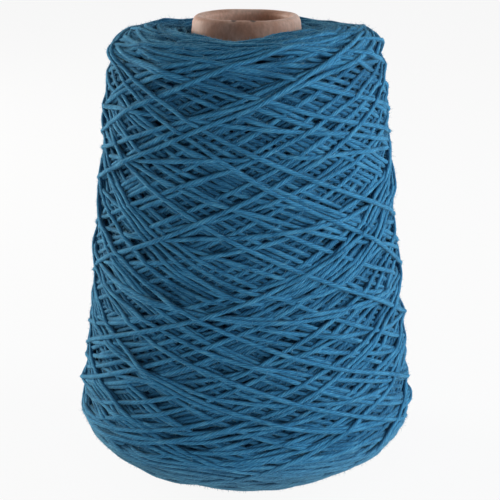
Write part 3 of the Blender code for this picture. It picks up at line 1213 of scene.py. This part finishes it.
class YARN_OT_cone(bpy.types.Operator):
    """Makes the paper cone with its rolled lip"""

    bl_idname = "yarn_cone.cone"
    bl_label = "Paper Cone"

    def execute(self, context):
        board = settings().board
        profile = cone_profile()
        inner = np.arange(len(profile)) > profile[:, 1].argmax()

        def from_nicks(turn, radius):
            """How far round each place is from each of the nicks."""
            return [half_turn(turn - nick) * radius for nick in (board.first_nick, board.second_nick)]

        def dented(radius, height, turn):
            """Lets the lip wave a little and puts the small nicks in its inner edge."""
            near = np.clip((height - CONE_LENGTH + 0.006) / 0.006, 0, 1) * board.unevenness
            radius = radius + near * (np.sin(2 * turn + 0.6) + 0.6 * np.sin(5 * turn + 2.0))
            height = height + near * (np.sin(3 * turn + 1.0) + 0.5 * np.sin(7 * turn))
            for apart in from_nicks(turn, NICK_RADIUS):
                edge = inner * bell(apart, 0.00035) * bell(height - CONE_LENGTH + 0.0009, 0.0008)
                radius = radius + edge * 0.0007
                height = height - edge * 0.0004
            return radius, height

        mesh = turned_mesh("rolled_cone", profile, CONE_SEGMENTS, dented)
        below = profile[:, 1] - CONE_LENGTH
        off = np.hypot(profile[:, 0] - cone_radius(CONE_LENGTH) + board.lip_thickness / 2, below)
        turn = 2 * math.pi * np.arange(CONE_SEGMENTS)[:, None] / CONE_SEGMENTS
        # Painted shade: a dark spot at each nick, where the lip's inner edge is cut
        mark = sum(bell(apart, 0.0011) for apart in from_nicks(turn, NICK_SHADE_RADIUS)) * bell(off, 0.0012)
        masks = {
            # Paler lip: partly wear, partly a painted highlight along the lip's edge
            "wear": 0.7 * bell(below, 0.0022) * np.where(inner, 1.0, 0.75) + 0.5 * bell(off, 0.0006),
            "bore": inner & (below < -0.0012),
            "mark": np.clip(4 * mark - 1.2, 0, 1),
        }
        for name, values in masks.items():
            set_values(mesh, name, np.broadcast_to(values, (CONE_SEGMENTS, len(profile))))
        mesh.materials.append(board_material(node_groups()["streaks"]))
        keep(link("rolled_cone", mesh), "kraft_board", "paper_cone")
        return {"FINISHED"}


class YARN_OT_stage(bpy.types.Operator):
    """Sets up the floor, the lamps and the camera"""

    bl_idname = "yarn_cone.stage"
    bl_label = "Stage"

    def execute(self, context):
        for make in (make_floor, make_lamps, make_camera):
            make(settings().stage)
        context.scene.view_settings.view_transform = "Standard"
        return {"FINISHED"}


def white_to_the_eye(tree, shader, white, output, share):
    """Shows a share of plain white to the camera, and in mirrored and bent rays, over a shader."""
    kinds = ("Camera", "Glossy", "Transmission")
    rays = [tree.add("ShaderNodeLightPath", out=f"Is {kind} Ray") for kind in kinds]
    seen = rays[0].maths("MAXIMUM", rays[1]).maths("MAXIMUM", rays[2]) * share
    glow = tree.add(white, {"Color": (1, 1, 1, 1)})
    mixed = tree.add("ShaderNodeMixShader", {0: seen, 1: shader.outputs[0], 2: glow})
    tree.put(tree.tree.nodes[output].inputs["Surface"], mixed)


FLOOR_HALF = 3.0
FLOOR_WHITE = 0.92


def make_floor(stage):
    """A wide pale floor."""
    mesh = bpy.data.meshes.new("floor")
    corners = [(FLOOR_HALF * x, FLOOR_HALF * y, 0) for x, y in ((-1, -1), (1, -1), (1, 1), (-1, 1))]
    mesh.from_pydata(corners, [], [(0, 1, 2, 3)])
    tree = Finish("pale_floor")
    mesh.materials.append(tree.shade((*stage.floor, 1), 0.8, 0.1))
    white_to_the_eye(tree, tree.shader, "ShaderNodeEmission", "Material Output", FLOOR_WHITE)
    link("floor", mesh)


def lamp(name, place, target, size, power, tint=(1, 1, 1)):
    light = bpy.data.lights.new(name, "AREA")
    light.shape = "RECTANGLE"
    light.size, light.size_y = size
    light.energy, light.color = power, tint
    made = link(name, light)
    made.location = place
    made.rotation_euler = (Vector(target) - Vector(place)).to_track_quat("-Z", "Y").to_euler()


def make_lamps(stage):
    """Four soft lamps, and an even light from a world that shows white."""
    middle = (0, 0, CONE_LENGTH / 2)
    lamp("key_lamp", (1.0, 0.0, 0.30), middle, (0.6, 0.7), stage.key_power, (0.89, 0.99, 1.05))
    lamp("rim_lamp", (-0.85, 0.5, 0.22), middle, (0.5, 0.6), stage.rim_power, (1.0, 0.95, 0.88))
    lamp("top_lamp", (0.1, -0.55, 1.0), middle, (0.9, 0.9), stage.top_power)
    lamp("front_lamp", (0.14, -0.56, 0.04), (0, 0, 0.01), (0.35, 0.1), stage.front_power)
    world = bpy.context.scene.world or bpy.data.worlds.new("studio")
    bpy.context.scene.world = world
    world.use_nodes = True
    light = world.node_tree.nodes["Background"]
    light.inputs["Color"].default_value = (1, 1, 1, 1)
    light.inputs["Strength"].default_value = stage.sky
    white_to_the_eye(Tree(world.node_tree), light, "ShaderNodeBackground", "World Output", 1.0)


def make_camera(stage):
    camera = bpy.data.cameras.new("camera")
    camera.lens, camera.sensor_width = stage.camera_lens, 36
    camera.shift_x, camera.clip_start = stage.camera_shift, 0.01
    made = link("camera", camera)
    made.location = (0, -stage.camera_distance, stage.camera_height)
    made.rotation_euler = (math.pi / 2 - stage.camera_pitch, 0, 0)
    bpy.context.scene.camera = made


GROUPS = {
    "package": PackageSizes,
    "winding": WindingSettings,
    "strand": StrandSettings,
    "fuzz": FuzzSettings,
    "board": BoardSizes,
    "yarn_finish": YarnFinish,
    "board_finish": BoardFinish,
    "stage": StageSettings,
}


class YarnConeSettings(bpy.types.PropertyGroup):
    """All settings of the yarn cone."""

    __annotations__ = {name: bpy.props.PointerProperty(type=group) for name, group in GROUPS.items()}


OPERATORS = (YARN_OT_layers, YARN_OT_last_wraps, YARN_OT_fuzz, YARN_OT_core, YARN_OT_cone, YARN_OT_stage)


class YARN_PT_panel(bpy.types.Panel):
    """The yarn cone's pieces and settings"""

    bl_idname = "YARN_PT_panel"
    bl_label = "Yarn Cone"
    bl_space_type = "VIEW_3D"
    bl_region_type = "UI"
    bl_category = "Yarn Cone"

    def draw(self, context):
        for operator in OPERATORS:
            self.layout.operator(operator.bl_idname)
        for held, group in GROUPS.items():
            box = self.layout.box()
            for name in group.__annotations__:
                box.prop(getattr(context.scene.yarn_cone, held), name)


CLASSES = (*GROUPS.values(), YarnConeSettings, *OPERATORS, YARN_PT_panel)


def register():
    for found in CLASSES:
        bpy.utils.register_class(found)
    bpy.types.Scene.yarn_cone = bpy.props.PointerProperty(type=YarnConeSettings)


def unregister():
    del bpy.types.Scene.yarn_cone
    for found in reversed(CLASSES):
        bpy.utils.unregister_class(found)


def main():
    register()
    for operator in OPERATORS:
        getattr(bpy.ops.yarn_cone, operator.bl_idname.split(".")[1])()
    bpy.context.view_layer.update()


if __name__ == "__main__":
    main()
